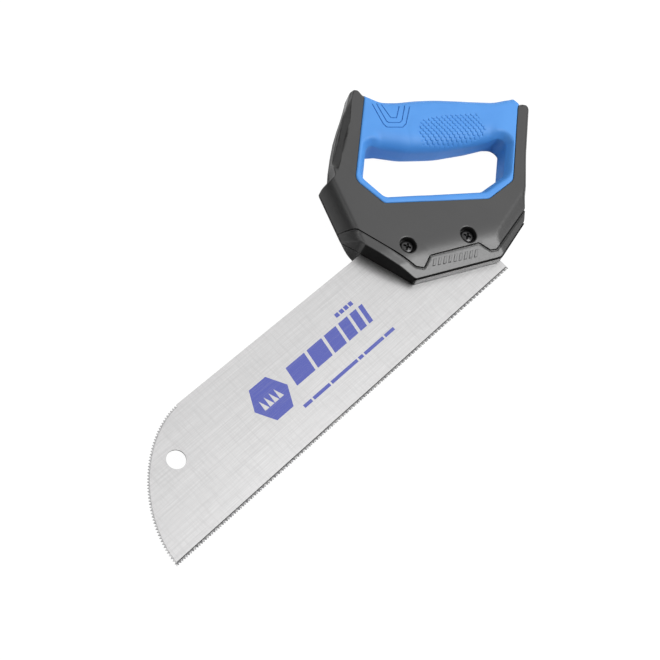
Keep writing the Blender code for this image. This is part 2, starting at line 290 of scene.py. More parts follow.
def hexgrid(low, high, step):
    rows = np.arange(low[1], high[1], step * 0.866)
    out = []
    for k, y in enumerate(rows):
        x = np.arange(low[0] + (step / 2 if k % 2 else 0), high[0], step)
        out.append(np.c_[x, np.full(len(x), y)])
    return np.vstack(out)


# ---------------------------------------------------------------- solid maker
def triangulated(loops, lines, points, keep):
    """Triangles of a plan region, following every loop and line in it."""
    verts, edges = [], []
    for line in loops:
        start = len(verts)
        verts += [tuple(p) for p in line]
        edges += [(start + i, start + (i + 1) % len(line)) for i in range(len(line))]
    for line in lines:
        start = len(verts)
        verts += [tuple(p) for p in line]
        edges += [(start + i, start + i + 1) for i in range(len(line) - 1)]
    verts += [tuple(p) for p in points]
    out = delaunay_2d_cdt([Vector(v) for v in verts], edges, [], 0, 1e-4)
    plan = np.array([tuple(v) for v in out[0]])
    tris = np.array([f for f in out[2] if len(f) == 3], int)
    centre = plan[tris].mean(1)
    tris = tris[keep(centre)]
    a, b, c = (plan[tris[:, k]] for k in range(3))
    area = (b - a)[:, 0] * (c - a)[:, 1] - (b - a)[:, 1] * (c - a)[:, 0]
    tris = tris[np.abs(area) > 1e-7]
    area = area[np.abs(area) > 1e-7]
    tris[area < 0] = tris[area < 0][:, ::-1]
    used, index = np.unique(tris, return_inverse=True)
    return plan[used], index.reshape(tris.shape)


def boundary_edges(tris):
    """Directed edges that only one triangle has."""
    ends = np.vstack([tris[:, [0, 1]], tris[:, [1, 2]], tris[:, [2, 0]]])
    key = {}
    for a, b in ends:
        key[(int(a), int(b))] = 1
    return [(a, b) for a, b in key if (b, a) not in key]


def to_row(points):
    return (points + ORIGIN) * 0.001


def piece(name, verts, faces, mats, face_mats=None, angle=32):
    mesh = bpy.data.meshes.new(name)
    mesh.from_pydata([tuple(v) for v in to_row(np.asarray(verts, float))], [], faces)
    mesh.validate()
    for mat in mats:
        mesh.materials.append(mat)
    mesh.polygons.foreach_set("use_smooth", [True] * len(mesh.polygons))
    if face_mats is not None and len(face_mats) == len(mesh.polygons):
        mesh.polygons.foreach_set("material_index", list(map(int, face_mats)))
    mesh.update()
    mesh.set_sharp_from_angle(angle=math.radians(angle))
    obj = bpy.data.objects.new(name, mesh)
    SCENE.collection.objects.link(obj)
    return obj


def solid(name, plan, tris, top, bottom, rows, mats, tri_mats=None, angle=32, side=1):
    """A closed body between two heights over a plan, its walls in rows.

    rows(p, low, high) gives the wall's heights between the two, and how far
    out each stands, as a list of (z, outward)."""
    count = len(plan)
    verts = [np.c_[plan, top], np.c_[plan, bottom]]
    faces = [tuple(t) for t in tris] + [tuple(t[::-1] + count) for t in tris]
    kinds = [0] * (2 * len(tris))
    if tri_mats is not None:
        kinds = list(tri_mats) + list(tri_mats)
    edges = boundary_edges(tris)
    follows = {a: b for a, b in edges}
    leads = {b: a for a, b in edges}
    rim = sorted(follows)
    levels = rows(plan[rim], bottom[rim], top[rim])
    way = plan[[follows[i] for i in rim]] - plan[[leads.get(i, i) for i in rim]]
    way /= np.maximum(np.hypot(way[:, 0], way[:, 1]), 1e-9)[:, None]
    out = np.c_[way[:, 1], -way[:, 0]]
    where = {v: k for k, v in enumerate(rim)}
    start = 2 * count
    for z, by in levels:
        verts.append(np.c_[plan[rim] + out * np.reshape(by, (-1, 1)), z])
    many = len(rim)
    for a, b in edges:
        ka, kb = where[a], where[b]
        chain_a = [a] + [start + n * many + ka for n in range(len(levels))] + [a + count]
        chain_b = [b] + [start + n * many + kb for n in range(len(levels))] + [b + count]
        for n in range(len(chain_a) - 1):
            faces.append((chain_a[n], chain_a[n + 1], chain_b[n + 1], chain_b[n]))
            kinds.append(0)
    verts = np.vstack(verts)
    if side < 0:
        verts[:, 2] *= -1
        faces = [f[::-1] for f in faces]
    return piece(name, verts, faces, mats, kinds, angle)


# ------------------------------------------------------------------ materials
class Shade:
    """A node material, built in short calls."""

    def __init__(self, name):
        self.mat = bpy.data.materials.new(name)
        self.mat.use_nodes = True
        self.tree = self.mat.node_tree
        self.bsdf = self.tree.nodes["Principled BSDF"]

    def node(self, kind, **values):
        made = self.tree.nodes.new(kind)
        for key, value in values.items():
            if hasattr(made, key):
                setattr(made, key, value)
            else:
                made.inputs[key.replace("_", " ")].default_value = value
        return made

    def link(self, a, b):
        self.tree.links.new(a, b)

    def coords(self, scale=(1, 1, 1), turn=(0, 0, 0)):
        at = self.node("ShaderNodeTexCoord")
        mapping = self.node("ShaderNodeMapping")
        mapping.inputs["Scale"].default_value = scale
        mapping.inputs["Rotation"].default_value = turn
        self.link(at.outputs["Object"], mapping.inputs["Vector"])
        return mapping.outputs["Vector"]

    def noise(self, vector, scale, detail=2.0, rough=0.5):
        made = self.node("ShaderNodeTexNoise")
        made.inputs["Scale"].default_value = scale
        made.inputs["Detail"].default_value = detail
        made.inputs["Roughness"].default_value = rough
        self.link(vector, made.inputs["Vector"])
        return made.outputs["Fac"]

    def remap(self, value, low, high, to_low, to_high):
        made = self.node("ShaderNodeMapRange")
        for key, v in zip(
            ("From Min", "From Max", "To Min", "To Max"), (low, high, to_low, to_high)
        ):
            made.inputs[key].default_value = v
        self.link(value, made.inputs["Value"])
        return made.outputs["Result"]

    def maths(self, operation, a, b=None):
        made = self.node("ShaderNodeMath")
        made.operation = operation
        for socket, v in zip(made.inputs, (a, b)):
            if v is None:
                continue
            if isinstance(v, (int, float)):
                socket.default_value = v
            else:
                self.link(v, socket)
        return made.outputs[0]

    def mix(self, factor, a, b):
        made = self.node("ShaderNodeMix")
        made.data_type = "RGBA"
        for socket, v in zip((made.inputs[6], made.inputs[7]), (a, b)):
            if isinstance(v, tuple):
                socket.default_value = (*v, 1.0)
            else:
                self.link(v, socket)
        if isinstance(factor, (int, float)):
            made.inputs[0].default_value = factor
        else:
            self.link(factor, made.inputs[0])
        return made.outputs[2]

    def bump(self, height, strength, depth, below=None):
        made = self.node("ShaderNodeBump")
        made.inputs["Strength"].default_value = strength
        made.inputs["Distance"].default_value = depth
        self.link(height, made.inputs["Height"])
        if below is not None:
            self.link(below, made.inputs["Normal"])
        return made.outputs["Normal"]

    def set(self, **values):
        for key, value in values.items():
            socket = self.bsdf.inputs[key.replace("_", " ")]
            if isinstance(value, (int, float)):
                socket.default_value = value
            elif isinstance(value, tuple):
                socket.default_value = (*value, 1.0)
            else:
                self.link(value, socket)


def black_plastic(name, base=0.0082, rough=0.36, gloss=0.62):
    """Semi-matte moulded plastic with a fine spark-eroded skin."""
    s = Shade(name)
    at = s.coords()
    skin = s.noise(at, 5200.0, 2.0, 0.6)
    broad = s.noise(at, 38.0, 3.0, 0.55)
    scuff = s.noise(s.coords((1, 1, 1), (0, 0, 0.6)), 420.0, 4.0, 0.7)
    tone = s.remap(broad, 0.35, 0.65, 0.0, 1.0)
    colour = s.mix(tone, (base, base, base * 1.02), (base * 1.35, base * 1.33, base * 1.35))
    s.set(Base_Color=colour)
    r = s.remap(skin, 0.3, 0.7, rough - 0.03, rough + 0.05)
    r = s.maths("ADD", r, s.remap(scuff, 0.55, 0.75, 0.0, 0.06))
    s.set(Roughness=r, Specular_IOR_Level=gloss)
    s.set(Normal=s.bump(skin, 0.22, 0.00006))
    return s.mat


def blue_rubber(name):
    """Soft overmoulded elastomer: matte, slightly uneven, with a velvet skin."""
    s = Shade(name)
    at = s.coords()
    skin = s.noise(at, 3800.0, 2.0, 0.6)
    broad = s.noise(at, 45.0, 3.0, 0.5)
    colour = s.mix(
        s.remap(broad, 0.35, 0.65, 0.0, 1.0), (0.047, 0.202, 0.525), (0.054, 0.218, 0.55)
    )
    s.set(Base_Color=colour)
    s.set(Roughness=s.remap(skin, 0.3, 0.7, 0.50, 0.60))
    s.set(Specular_IOR_Level=0.38)
    s.set(Normal=s.bump(skin, 0.18, 0.00008))
    return s.mat


def steel(name, tint=(0.395, 0.392, 0.393), rough=0.34, fine=1.0):
    """Lacquered spring steel, ground along the cutting edge."""
    s = Shade(name)
    long_lines = s.noise(s.coords((18.0, 2600.0 * fine, 40.0)), 1.0, 3.0, 0.65)
    fine_lines = s.noise(s.coords((70.0, 6200.0 * fine, 40.0)), 1.0, 2.0, 0.7)
    cross = s.noise(s.coords((1150.0, 60.0, 40.0)), 1.0, 3.0, 0.7)
    broad_lines = s.noise(s.coords((34.0, 1150.0, 40.0)), 1.0, 3.0, 0.75)
    cloud = s.noise(s.coords(), 22.0, 3.0, 0.5)
    lines = s.maths(
        "ADD",
        s.maths("MULTIPLY", long_lines, 0.55),
        s.maths("ADD", s.maths("MULTIPLY", fine_lines, 0.35), s.maths("MULTIPLY", cross, 0.10)),
    )
    lo = tuple(0.86 * t for t in tint)
    hi = tuple(1.12 * t for t in tint)
    colour = s.mix(s.remap(lines, 0.36, 0.64, 0.0, 1.0), lo, hi)
    colour = s.mix(s.remap(cloud, 0.35, 0.65, 0.0, 0.16), colour, tuple(0.93 * t for t in tint))
    colour = s.mix(s.remap(broad_lines, 0.48, 0.66, 0.0, 0.45), colour, tuple(0.82 * t for t in tint))
    colour = s.mix(s.remap(cross, 0.48, 0.66, 0.0, 0.55), colour, tuple(0.82 * t for t in tint))
    s.set(Base_Color=colour, Metallic=1.0)
    s.set(Roughness=s.remap(lines, 0.3, 0.7, rough + 0.05, rough - 0.05))
    s.set(Normal=s.bump(lines, 0.16, 0.00004))
    return s.mat


def ink(name, colour, base=(0.395, 0.392, 0.393)):
    """Screen print, slightly thin, so that the grain below shows in it."""
    s = Shade(name)
    grain = s.noise(s.coords((30.0, 2600.0, 40.0)), 1.0, 3.0, 0.65)
    speckle = s.noise(s.coords(), 2600.0, 2.0, 0.6)
    worn = s.maths(
        "ADD", s.remap(grain, 0.52, 0.78, 0.0, 0.22), s.remap(speckle, 0.58, 0.74, 0.0, 0.2)
    )
    s.set(Base_Color=s.mix(worn, colour, base))
    s.set(Roughness=s.remap(grain, 0.3, 0.7, 0.40, 0.52))
    s.set(Metallic=s.maths("MULTIPLY", worn, 0.9))
    s.set(Normal=s.bump(grain, 0.12, 0.00003))
    return s.mat


def black_steel(name, base=0.0065, rough=0.16):
    """Black oxide fastener with a thin oily gloss."""
    s = Shade(name)
    at = s.coords()
    pits = s.noise(at, 2600.0, 3.0, 0.6)
    turned = s.noise(s.coords((1, 1, 8)), 900.0, 2.0, 0.5)
    colour = s.mix(
        s.remap(pits, 0.4, 0.7, 0.0, 1.0), (base, base, base * 1.1), (base * 2.4, base * 2.3, base * 2.4)
    )
    s.set(Base_Color=colour, Metallic=0.25)
    s.set(Roughness=s.remap(turned, 0.3, 0.7, rough - 0.04, rough + 0.09))
    s.set(Specular_IOR_Level=0.5)
    s.set(Normal=s.bump(pits, 0.12, 0.00006))
    return s.mat


def zinc(name):
    s = Shade(name)
    at = s.coords()
    grain = s.noise(at, 1800.0, 3.0, 0.6)
    patch = s.noise(at, 260.0, 3.0, 0.6)
    s.set(Base_Color=s.mix(s.remap(patch, 0.35, 0.65, 0.0, 1.0), (0.50, 0.51, 0.52), (0.62, 0.62, 0.62)))
    s.set(Metallic=1.0, Roughness=s.remap(grain, 0.3, 0.7, 0.30, 0.44))
    s.set(Normal=s.bump(grain, 0.2, 0.00005))
    return s.mat


def hardened(name, shade=1.0):
    """The straight teeth: ground, then darkened by hardening."""
    s = Shade(name)
    grain = s.noise(s.coords((900.0, 160.0, 40.0)), 1.0, 2.0, 0.6)
    s.set(
        Base_Color=s.mix(s.remap(grain, 0.35, 0.65, 0.0, 1.0), (0.070 * shade, 0.070 * shade, 0.074 * shade), (0.14 * shade, 0.138 * shade, 0.136 * shade)),
        Metallic=0.9,
        Roughness=s.remap(grain, 0.3, 0.7, 0.34, 0.5),
    )
    s.set(Normal=s.bump(grain, 0.25, 0.00004))
    return s.mat


# ----------------------------------------------------------------------- blade
def toothed(line, pitch, depth):
    """Points of a run of teeth with tips on the line, and each point's kind."""
    gaps = np.hypot(*np.diff(line, axis=0).T)
    along = np.r_[0, np.cumsum(gaps)]
    count = int(along[-1] / pitch)
    real = along[-1] / count

    def at(s):
        i = min(max(int(np.searchsorted(along, s + 1e-9)) - 1, 0), len(line) - 2)
        way = (line[i + 1] - line[i]) / gaps[i]
        return line[i] + way * (s - along[i]), np.array([-way[1], way[0]])

    out, kinds = [], []
    for k in range(count):
        tip, _ = at(k * real)
        root, left = at((k + 0.42) * real)
        out += [tip, root + left * depth]
        kinds += [1 + k % 2, 0]
    out.append(line[-1])
    kinds.append(0)
    return np.array(out), kinds


def blade_piece():
    t = np.linspace(0, math.pi / 2, 61)
    nose = np.c_[
        NOSE_LENGTH * (1 - np.cos(t) ** (2 / NOSE_POWER)),
        BLADE_WIDTH * np.sin(t) ** (2 / NOSE_POWER),
    ]
    straight, kinds_a = toothed(
        np.array([[0.0, 0.0], [EDGE_LENGTH, 0.0]]), TOOTH_PITCH, TOOTH_DEPTH
    )
    curved, kinds_b = toothed(nose[::-1], TOOTH_PITCH * 1.12, 1.45)
    back = np.array([[EDGE_LENGTH, TANG_CORNER[1]], [TANG_CORNER[0], BLADE_WIDTH]])
    outline = np.vstack([straight, back, curved[:-1]])
    kinds = np.array(kinds_a + [0, 0] + kinds_b[:-1])
    holes = [circle(HANG_HOLE, HANG_HOLE_D / 2, 72)]
    holes += [circle(at, BOLT_R, 32) for _, at in SCREWS]
    ground = dense(np.array([[1.6, 1.7], [EDGE_LENGTH - 0.6, 1.7]]), 1.65, False)
    above = dense(np.array([[1.9, 2.1], [EDGE_LENGTH - 0.6, 2.1]]), 1.65, False)
    inner = moved(nose[2:-1:1], -1.6, False)
    prints, marks = generic_print()
    lines = [ground, above, inner] + [np.vstack([p, p[:1]]) for p, _ in prints]

    def keep(p):
        ok = within(p, outline)
        for hole in holes:
            ok &= ~within(p, hole)
        return ok

    plan, tris = triangulated([outline] + holes, lines, np.zeros((0, 2)), keep)
    top = np.full(len(plan), BLADE_HALF)
    bottom = np.full(len(plan), -BLADE_HALF)
    # alternate teeth are ground thin on alternate faces, and set a little
    gap = ((plan[:, None, :] - outline[None, kinds > 0]) ** 2).sum(2)
    near = gap.argmin(1)
    is_tip = gap.min(1) < 1e-6
    straight_run = plan[:, 1] < 0.2
    tip_kind = kinds[kinds > 0][near]
    for kind, up in ((1, 1), (2, -1)):
        here = is_tip & (tip_kind == kind) & straight_run
        curved_here = is_tip & (tip_kind == kind) & ~straight_run
        top[curved_here] = 0.5 if up > 0 else 0.26
        bottom[curved_here] = -0.26 if up > 0 else -0.5
        if up > 0:
            bottom[here] = 0.02
            top[here] = 0.56
        else:
            top[here] = -0.02
            bottom[here] = -0.56
    centre = plan[tris].mean(1)
    which = np.zeros(len(tris), int)
    for line, slot in prints:
        which[within(centre, line)] = slot
    which[(distance(centre, nose[1:], closed=False) < 1.55) & (which == 0)] = 5
    which[(centre[:, 1] < 1.7) & (centre[:, 0] > 0.9)] = 3
    which[(centre[:, 1] > 1.7) & (centre[:, 1] < 2.1) & (centre[:, 0] > 1.9)] = 4
    kinds_both = list(which)

    def rows(p, low, high):
        return [((low + high) / 2, 0.0)]

    obj = solid(
        "saw_blade_ground", plan, tris, top, bottom, rows,
        [STEEL, INK, STEEL, HARD, GRIND, NOSE], kinds_both, angle=20,
    )
    # flat faces everywhere, and the print on the visible face only
    mesh = obj.data
    mesh.polygons.foreach_set("use_smooth", [False] * len(mesh.polygons))
    for poly in mesh.polygons:
        if poly.material_index == 1 and poly.normal.z < 0:
            poly.material_index = 0
    del marks
    return obj


def quad(x0, x1, y0, y1, lean=0.0):
    """A bar, leaning by lean mm over its height."""
    return np.array([[x0, y0], [x1, y0], [x1 + lean, y1], [x0 + lean, y1]])


def generic_print():
    """Plain shapes in print: a hexagon with teeth cut out, bars and dashes."""
    prints = []
    centre = np.array([112.6, 37.0])
    prints.append((centre + circle((0, 0), 14.2, 6), 1))
    for k in range(4):
        foot = centre + (-8.4 + 4.2 * k, -3.4)
        prints.append((np.array([foot, foot + (3.6, 0), foot + (0.9, 6.8)]), 2))
    x = 131.0
    for width in (16.5, 13.5, 11.0, 8.5, 6.0, 3.6):
        prints.append((quad(x, x + width, 32.6, 45.4, 2.6), 1))
        x += width + 2.3
    x = 124.5
    for width in (7, 15, 24, 4, 18, 9):
        prints.append((quad(x, x + width, 19.2, 21.4), 1))
        x += width + 1.4
    x = 184.0
    for width in (3.2, 3.2, 3.2, 3.2):
        prints.append((quad(x, x + width, 48.6, 51.4), 1))
        x += width + 1.0
    return prints, None


# ---------------------------------------------------------------------- shells
BODY_LINE = dense(rounded(BODY), 1.1)
OPEN_LINE = dense(rounded(OPENING), 1.0)
FRAME_LINE = dense(rounded(GRIP_FRAME), 1.0)
BACK_LINE = dense(rounded(GRIP_OUTER), 1.0)
GROOVE_LINE = dense(rounded(GROOVE, closed=False), 0.8, False)
FRAME_OUT = inward(FRAME_LINE, -SEAM)
SEAT = np.array(
    [[200, -20], [305.3, -20], [305.3, 52.8], [278.2, 70.7], [200, 70.7]], float
)

INSIDE_GROOVE = np.vstack([GROOVE_LINE, [[345.0, 130.0], [224.0, 130.0]]])


def slanted_ribs():
    """Plain slanted ribs, all alike, raised in the plate's lower panel."""
    low_a, low_b = np.array([256.9, 33.0]), np.array([289.0, 17.9])
    up = np.array([3.9, 3.0])
    count, out = 9, []
    for k in range(count):
        a = low_a + (low_b - low_a) * (k / count)
        b = low_a + (low_b - low_a) * ((k + 0.52) / count)
        out.append(np.array([a, b, b + up, a + up]))
    return out


RIBS = slanted_ribs()
NOSE_A, NOSE_B = (239.4, 118.2), (225.5, 84.2)
LOW_A, LOW_B = (241.9, 34.2), (302.6, 8.4)
HEEL_A, HEEL_B = (302.6, 8.4), (336.8, 15.7)
SPINE = np.array(
    [[313.1, 161.45], [298.2, 152.0], [276.5, 140.6], [252.6, 123.8]], float
)


def spine_width(x):
    """Width of the chamfer along the spine, narrowing to the tip."""
    return 4.2 * (1 - 0.8 * smooth(x, 290.0, 311.0))


def strip_profile(d):
    """Height of the strip outside the groove: two flats with a crease."""
    return np.where(d < 10.4, 7.3 + 0.38 * d, 11.25 + 0.16 * (d - 10.4))


def low_profile(d):
    """Height over the plate's lower rim, rising inward."""
    t = np.clip((d - 10.5) / 13.5, 0, 1)
    z0, m0, z1 = 11.29, 0.38 * 13.5, SHELL_TOP
    h = (
        (2 * t**3 - 3 * t**2 + 1) * z0
        + (t**3 - 2 * t**2 + t) * m0
        + (-2 * t**3 + 3 * t**2) * z1
    )
    return np.where(d < 10.5, 7.3 + 0.38 * d, h)


def heel_profile(d):
    """Height over the heel: a short slope, then flat."""
    return 7.9 + 0.43 * d


def soft_min(a, b, width):
    """The lower of the two, blended over a height."""
    t = np.clip(0.5 + 0.5 * (b - a) / width, 0, 1)
    return b * (1 - t) + a * t - width * t * (1 - t)


def shell_top(p, side):
    """Height of the moulded shell's outer surface over its plan."""
    z = np.full(len(p), SHELL_TOP)
    outside = ~within(p, INSIDE_GROOVE)
    d = from_edge(p, LOW_A, LOW_B)
    low = np.minimum(
        np.where(outside, strip_profile(d), low_profile(d)),
        heel_profile(from_edge(p, HEEL_A, HEEL_B)),
    )
    z = np.minimum(z, low)
    d = np.clip(from_edge(p, NOSE_A, NOSE_B), 0.0, 10.0)
    nose = SHELL_TOP * (1 - (1 - d / 10.0) ** 1.6)
    nose = np.where(p[:, 0] > 262, SHELL_TOP + 1.0, nose)
    z = soft_min(z, nose, 0.8)
    # chamfer along the front spine, over a vertical wall
    d = np.min([from_edge(p, a, b) for a, b in zip(SPINE, SPINE[1:])], axis=0)
    start = smooth(p[:, 0], 252.5, 259.5)
    width = spine_width(p[:, 0])
    foot = SHELL_TOP - 1.17 * width * start
    if side < 0:
        start = smooth(p[:, 0], 246.0, 253.5)
        deep = 6.3 + 2.5 * smooth(p[:, 0], 290.0, 309.0)
        foot = SHELL_TOP - (1.17 * width + deep) * start
    bevel = foot + (SHELL_TOP - foot) * np.clip(d / width, 0, 1)
    z = soft_min(z, np.where(d < 12, bevel, SHELL_TOP + 1.0), 0.4)
    z = z + 0.07 * np.exp(-(((d - width - 0.1) / 0.4) ** 2)) * start
    # rounding of the rim, by region
    d = np.maximum(inset(p, BODY_LINE), 0.0)
    r = np.full(len(p), 0.8)
    rear = smooth(p[:, 0], 338.0, 352.0)
    r = r * (1 - rear) + 3.5 * rear
    tip = 1 - smooth(np.hypot(p[:, 0] - 314.0, p[:, 1] - 158.0), 4.0, 18.0)
    r = r * (1 - tip) + 3.2 * tip
    flush = 1 - smooth(-inset(p, FRAME_OUT), 0.6, 4.5)
    flush = flush * np.maximum(tip, rear)
    r = r * (1 - flush) + 6.5 * flush
    foot = smooth(p[:, 1], 30.0, 44.0)
    r = r * (0.35 + 0.65 * np.maximum(foot, rear))
    z = z - drop(d, r, r)
    # a slight break at the seam with the grip
    d = -inset(p, FRAME_OUT)
    z = z - drop(np.maximum(d, 0.0), 0.5, 0.35)
    # groove round the plate
    g = distance(p, GROOVE_LINE, closed=False)
    lip = smooth(g, 0.36, 0.62) * (1 - smooth(g, 0.8, 1.35))
    z = z - 1.05 * (1 - smooth(g, 0.16, 0.46)) + np.where(outside, 0.26, 0.05) * lip
    for rib in RIBS:
        z = z + 0.34 * smooth(inset(p, rib), -0.06, 0.22)
    return z


def with_recess(p, z, side):
    for _, at in SCREWS:
        r = np.hypot(p[:, 0] - at[0], p[:, 1] - at[1])
        if side > 0:
            lip = drop(np.maximum(r - RECESS_R, 0), 0.8, 0.65)
            z = np.where(r < RECESS_R + 0.9, z - lip, z)
            z = np.where(r < RECESS_R - 0.02, RECESS_FLOOR, z)
        else:
            z = np.where(hex_radius(p, at) < 4.3 - 0.02, RECESS_FLOOR, z)
    return z


def hex_radius(p, at, turn=0.0):
    """Largest projection on the three flats of a hexagon."""
    q = p - np.array(at)
    return np.max(
        [np.abs(q @ np.array([math.cos(a), math.sin(a)])) for a in
         (turn + math.pi / 6, turn + math.pi / 2, turn + 5 * math.pi / 6)], axis=0,
    )


def hexagon(at, flats, step=0.6):
    r = flats / math.cos(math.pi / 6)
    return dense(circle(at, r, 6), step)


def shell_piece(name, side):
    loops = [BODY_LINE, FRAME_OUT]
    lines = []
    for d in (0.04, 0.12, 0.25, 0.45, 0.75, 1.1, 1.6, 2.3, 3.2, 4.4):
        lines += ring(BODY_LINE, d)
    for d in (0.08, 0.2, 0.35, 0.5, 0.9):
        lines += [
            r for r in ring(FRAME_OUT, -d)
        ]
    for d in (-1.35, -1.0, -0.7, -0.46, -0.34, -0.25, -0.16, 0.0, 0.16, 0.25, 0.34, 0.46, 0.7, 1.0, 1.35):
        lines.append(moved(GROOVE_LINE, d, False))
    for rib in RIBS:
        for d in (-0.06, 0.08, 0.22):
            edge = dense(inward(rib, d), 1.0)
            lines.append(np.vstack([edge, edge[:1]]))
    spine = dense(SPINE, 1.0, False)
    for share in (0.07, 0.14, 0.24, 0.44, 0.64, 0.84):
        lines.append(moved(spine, share * spine_width(spine[:, 0]), False))
    for d in (-0.15, 0.1, 0.35, 0.7, 1.1):
        lines.append(moved(spine, spine_width(spine[:, 0]) + d, False))
    edge = np.array([NOSE_A, NOSE_B])
    edge = np.vstack([edge[0] + (edge[0] - edge[1]) * 0.6, edge[1] - (edge[0] - edge[1]) * 0.6])
    for d in (0.8, 1.6, 2.4, 3.4, 4.4, 5.4, 6.4, 7.4, 8.4, 9.4, 10.2):
        lines.append(moved(dense(edge, 1.2, False), d, False))
    for a, b in ((LOW_A, LOW_B), (HEEL_A, HEEL_B)):
        edge = dense(np.array([a, b], float), 1.3, False)
        for d in (5.0, 10.5, 13.0, 16.0, 20.0, 24.0):
            lines.append(moved(edge, d, False))
    lines.append(dense(np.vstack([SEAT[1:4], SEAT[3:]]), 1.3, False))
    lines.append(dense(inward(SEAT, 0.04)[1:], 1.3, False))
    seat = rounded([(x, y, 0) for x, y in SEAT])
    for _, at in SCREWS:
        loops.append(circle(at, BOLT_R, 32))
        if side > 0:
            for r in (RECESS_R - 0.06, RECESS_R, RECESS_R + 0.08, RECESS_R + 0.22, RECESS_R + 0.42, RECESS_R + 0.65, RECESS_R + 0.85, RECESS_R + 1.2):
                c = circle(at, r, 64)
                lines.append(np.vstack([c, c[:1]]))
        else:
            for r in (4.24, 4.3, 4.5):
                c = hexagon(at, r)
                lines.append(np.vstack([c, c[:1]]))

    holes = loops[2:]

    def keep(p):
        ok = within(p, BODY_LINE) & ~within(p, FRAME_OUT)
        for hole in holes:
            ok &= ~within(p, hole)
        return ok

    grid = hexgrid((222, 6), (413, 164), 1.35)
    grid = grid[within(grid, BODY_LINE) & ~within(grid, FRAME_OUT)]
    stack = np.vstack(loops + lines)
    grid = grid[nearest(grid, stack) > 0.75]
    plan, tris = triangulated(loops, lines, grid, keep)
    top = with_recess(plan, shell_top(plan, side), side)
    outer = np.maximum(inset(plan, BODY_LINE), 0.0)
    seated = within(plan, inward(seat, 0.02))
    bottom = np.where(seated, 0.8, 0.15 + np.maximum(0.0, 0.4 - outer) * 0.8)
    bottom = np.where(seated & (outer < 1.0), 0.62, bottom)
    top = np.maximum(top, bottom + 0.05)

    def rows(p, low, high):
        """Straight walls; along the plate's foot a step runs under the rim."""
        d = np.minimum(
            np.abs(from_edge(p, LOW_A, LOW_B)), np.abs(from_edge(p, HEEL_A, HEEL_B))
        )
        foot = (d < 0.5) & (p[:, 0] > 240) & (p[:, 0] < 336) & (p[:, 1] < 40)
        span = high - low
        out = []
        for share, by, foot_z, foot_by in (
            (0.97, 0.0, -0.30, 0.0),
            (0.90, 0.0, -2.20, 0.05),
            (0.84, 0.0, -2.30, 0.60),
            (0.78, 0.0, -0.75, 0.65),
            (0.70, 0.0, -0.65, 0.95),
            (0.35, 0.0, None, 1.05),
            (0.06, 0.0, None, 1.15),
        ):
            z = low + span * share
            if foot_z is not None:
                z = np.where(foot, high + foot_z, z)
            out.append((z, np.where(foot, foot_by, by)))
        return out

    skin = BLACK_UP if side > 0 else BLACK_DOWN
    shell = solid(name, plan, tris, top, bottom, rows, [skin, SHADED_WALL_PLASTIC], angle=28, side=side)
    # the plate's wall towards the blade gets a darker, less glossy copy of the black plastic: painted shade
    # on the wall that faces away from the light
    for poly in shell.data.polygons:
        at = np.array(poly.center) * 1000 - ORIGIN
        if poly.normal.x < -0.6 and abs(poly.normal.z) < 0.3 and 33.0 < at[1] < 71.0 and at[0] < 245.0:
            poly.material_index = 1
    return shell


# ------------------------------------------------------------------------ grip
AXIS_AT = np.array([289.6, 124.0])
AXIS = np.array([90.4, -55.6]) / math.hypot(90.4, 55.6)
SCALE_A = np.array([0.609, -0.429]) * 5.3 * 0.5 + np.array([-0.627, -0.547]) * 2.62
SCALE_B = np.array([0.609, -0.429]) * 5.3 * 0.5 - np.array([-0.627, -0.547]) * 2.62


def scale_bumps(p):
    """Overlapping scales on a diamond lattice, each steep on one side."""
    lattice = np.array([SCALE_A, SCALE_B]).T
    inverse = np.linalg.inv(lattice)
    start = np.array([345.0, 95.0])
    cell = (p - start) @ inverse.T
    best = np.full(len(p), 9.0)
    out = np.zeros(len(p))
    lead = (np.array([-0.609, 0.429]) * 0.8 + np.array([-0.627, -0.547]) * 0.6)
    lead /= np.hypot(*lead)
    base = np.floor(cell)
    for du in (0, 1):
        for dv in (0, 1):
            q = base + (du, dv)
            offset = (cell - q) @ lattice.T
            r = np.hypot(offset[:, 0], offset[:, 1])
            facing = np.clip(0.45 + 0.75 * (offset @ lead) / np.maximum(r, 0.05), 0, 1)
            rim = np.exp(-(((r - 1.22) / 0.2) ** 2))
            h = 0.16 * (1 - smooth(r, 0.9, 1.3)) - 0.62 * rim * facing
            out = np.where(r < best, h, out)
            best = np.minimum(best, r)
    edge = inset(p, np.array(SCALES))
    return 0.95 * out * smooth(edge, -0.9, 0.5)


def grip_top(p):
    u = (p - AXIS_AT) @ AXIS
    z = np.full(len(p), GRIP_TOP)
    # the grip's back: a full roll in the middle, tighter at the two flares
    bar = smooth(u, 12.0, 26.0) * (1 - smooth(u, 100.0, 114.0))
    a = 6.6 + 2.2 * bar
    back = np.maximum(inset(p, BACK_LINE), 0.0)
    z = z - drop(back, a, a)
    # the side towards the fingers
    bar = smooth(u, 4.0, 11.5) * (1 - smooth(u, 91.0, 99.0))
    side = from_edge(p, (289.6, 124.0), (380.0, 68.4))
    bar = bar * smooth(side, -14.0, -9.5)
    fingers = np.maximum(-inset(p, OPEN_LINE), 0.0)
    rim = 5.6 * np.clip(1 - fingers / 4.2, 0, 1) ** 1.5
    z = z - (1 - bar) * rim - bar * drop(fingers, 11.8, 9.8)
    # rim against the shell
    rim = np.maximum(inset(p, FRAME_LINE), 0.0)
    z = z - drop(rim, 1.3, 0.85)
    # faint raised panel, scales and grooves
    panel = inset(p, PANEL_LINE)
    z = z - 0.34 * (1 - smooth(panel, -1.5, 0.9)) * smooth(u, 24.0, 32.0) * (1 - smooth(u, 84.0, 96.0)) * 0.7
    z = z + scale_bumps(p) - 0.16 * smooth(inset(p, np.array(SCALES)), -0.5, 0.6)
    for line in CHEVRON_LINES:
        z = z - 0.8 * (1 - smooth(distance(p, line, False), 0.12, 0.34))
    return np.minimum(z, GRIP_TOP)


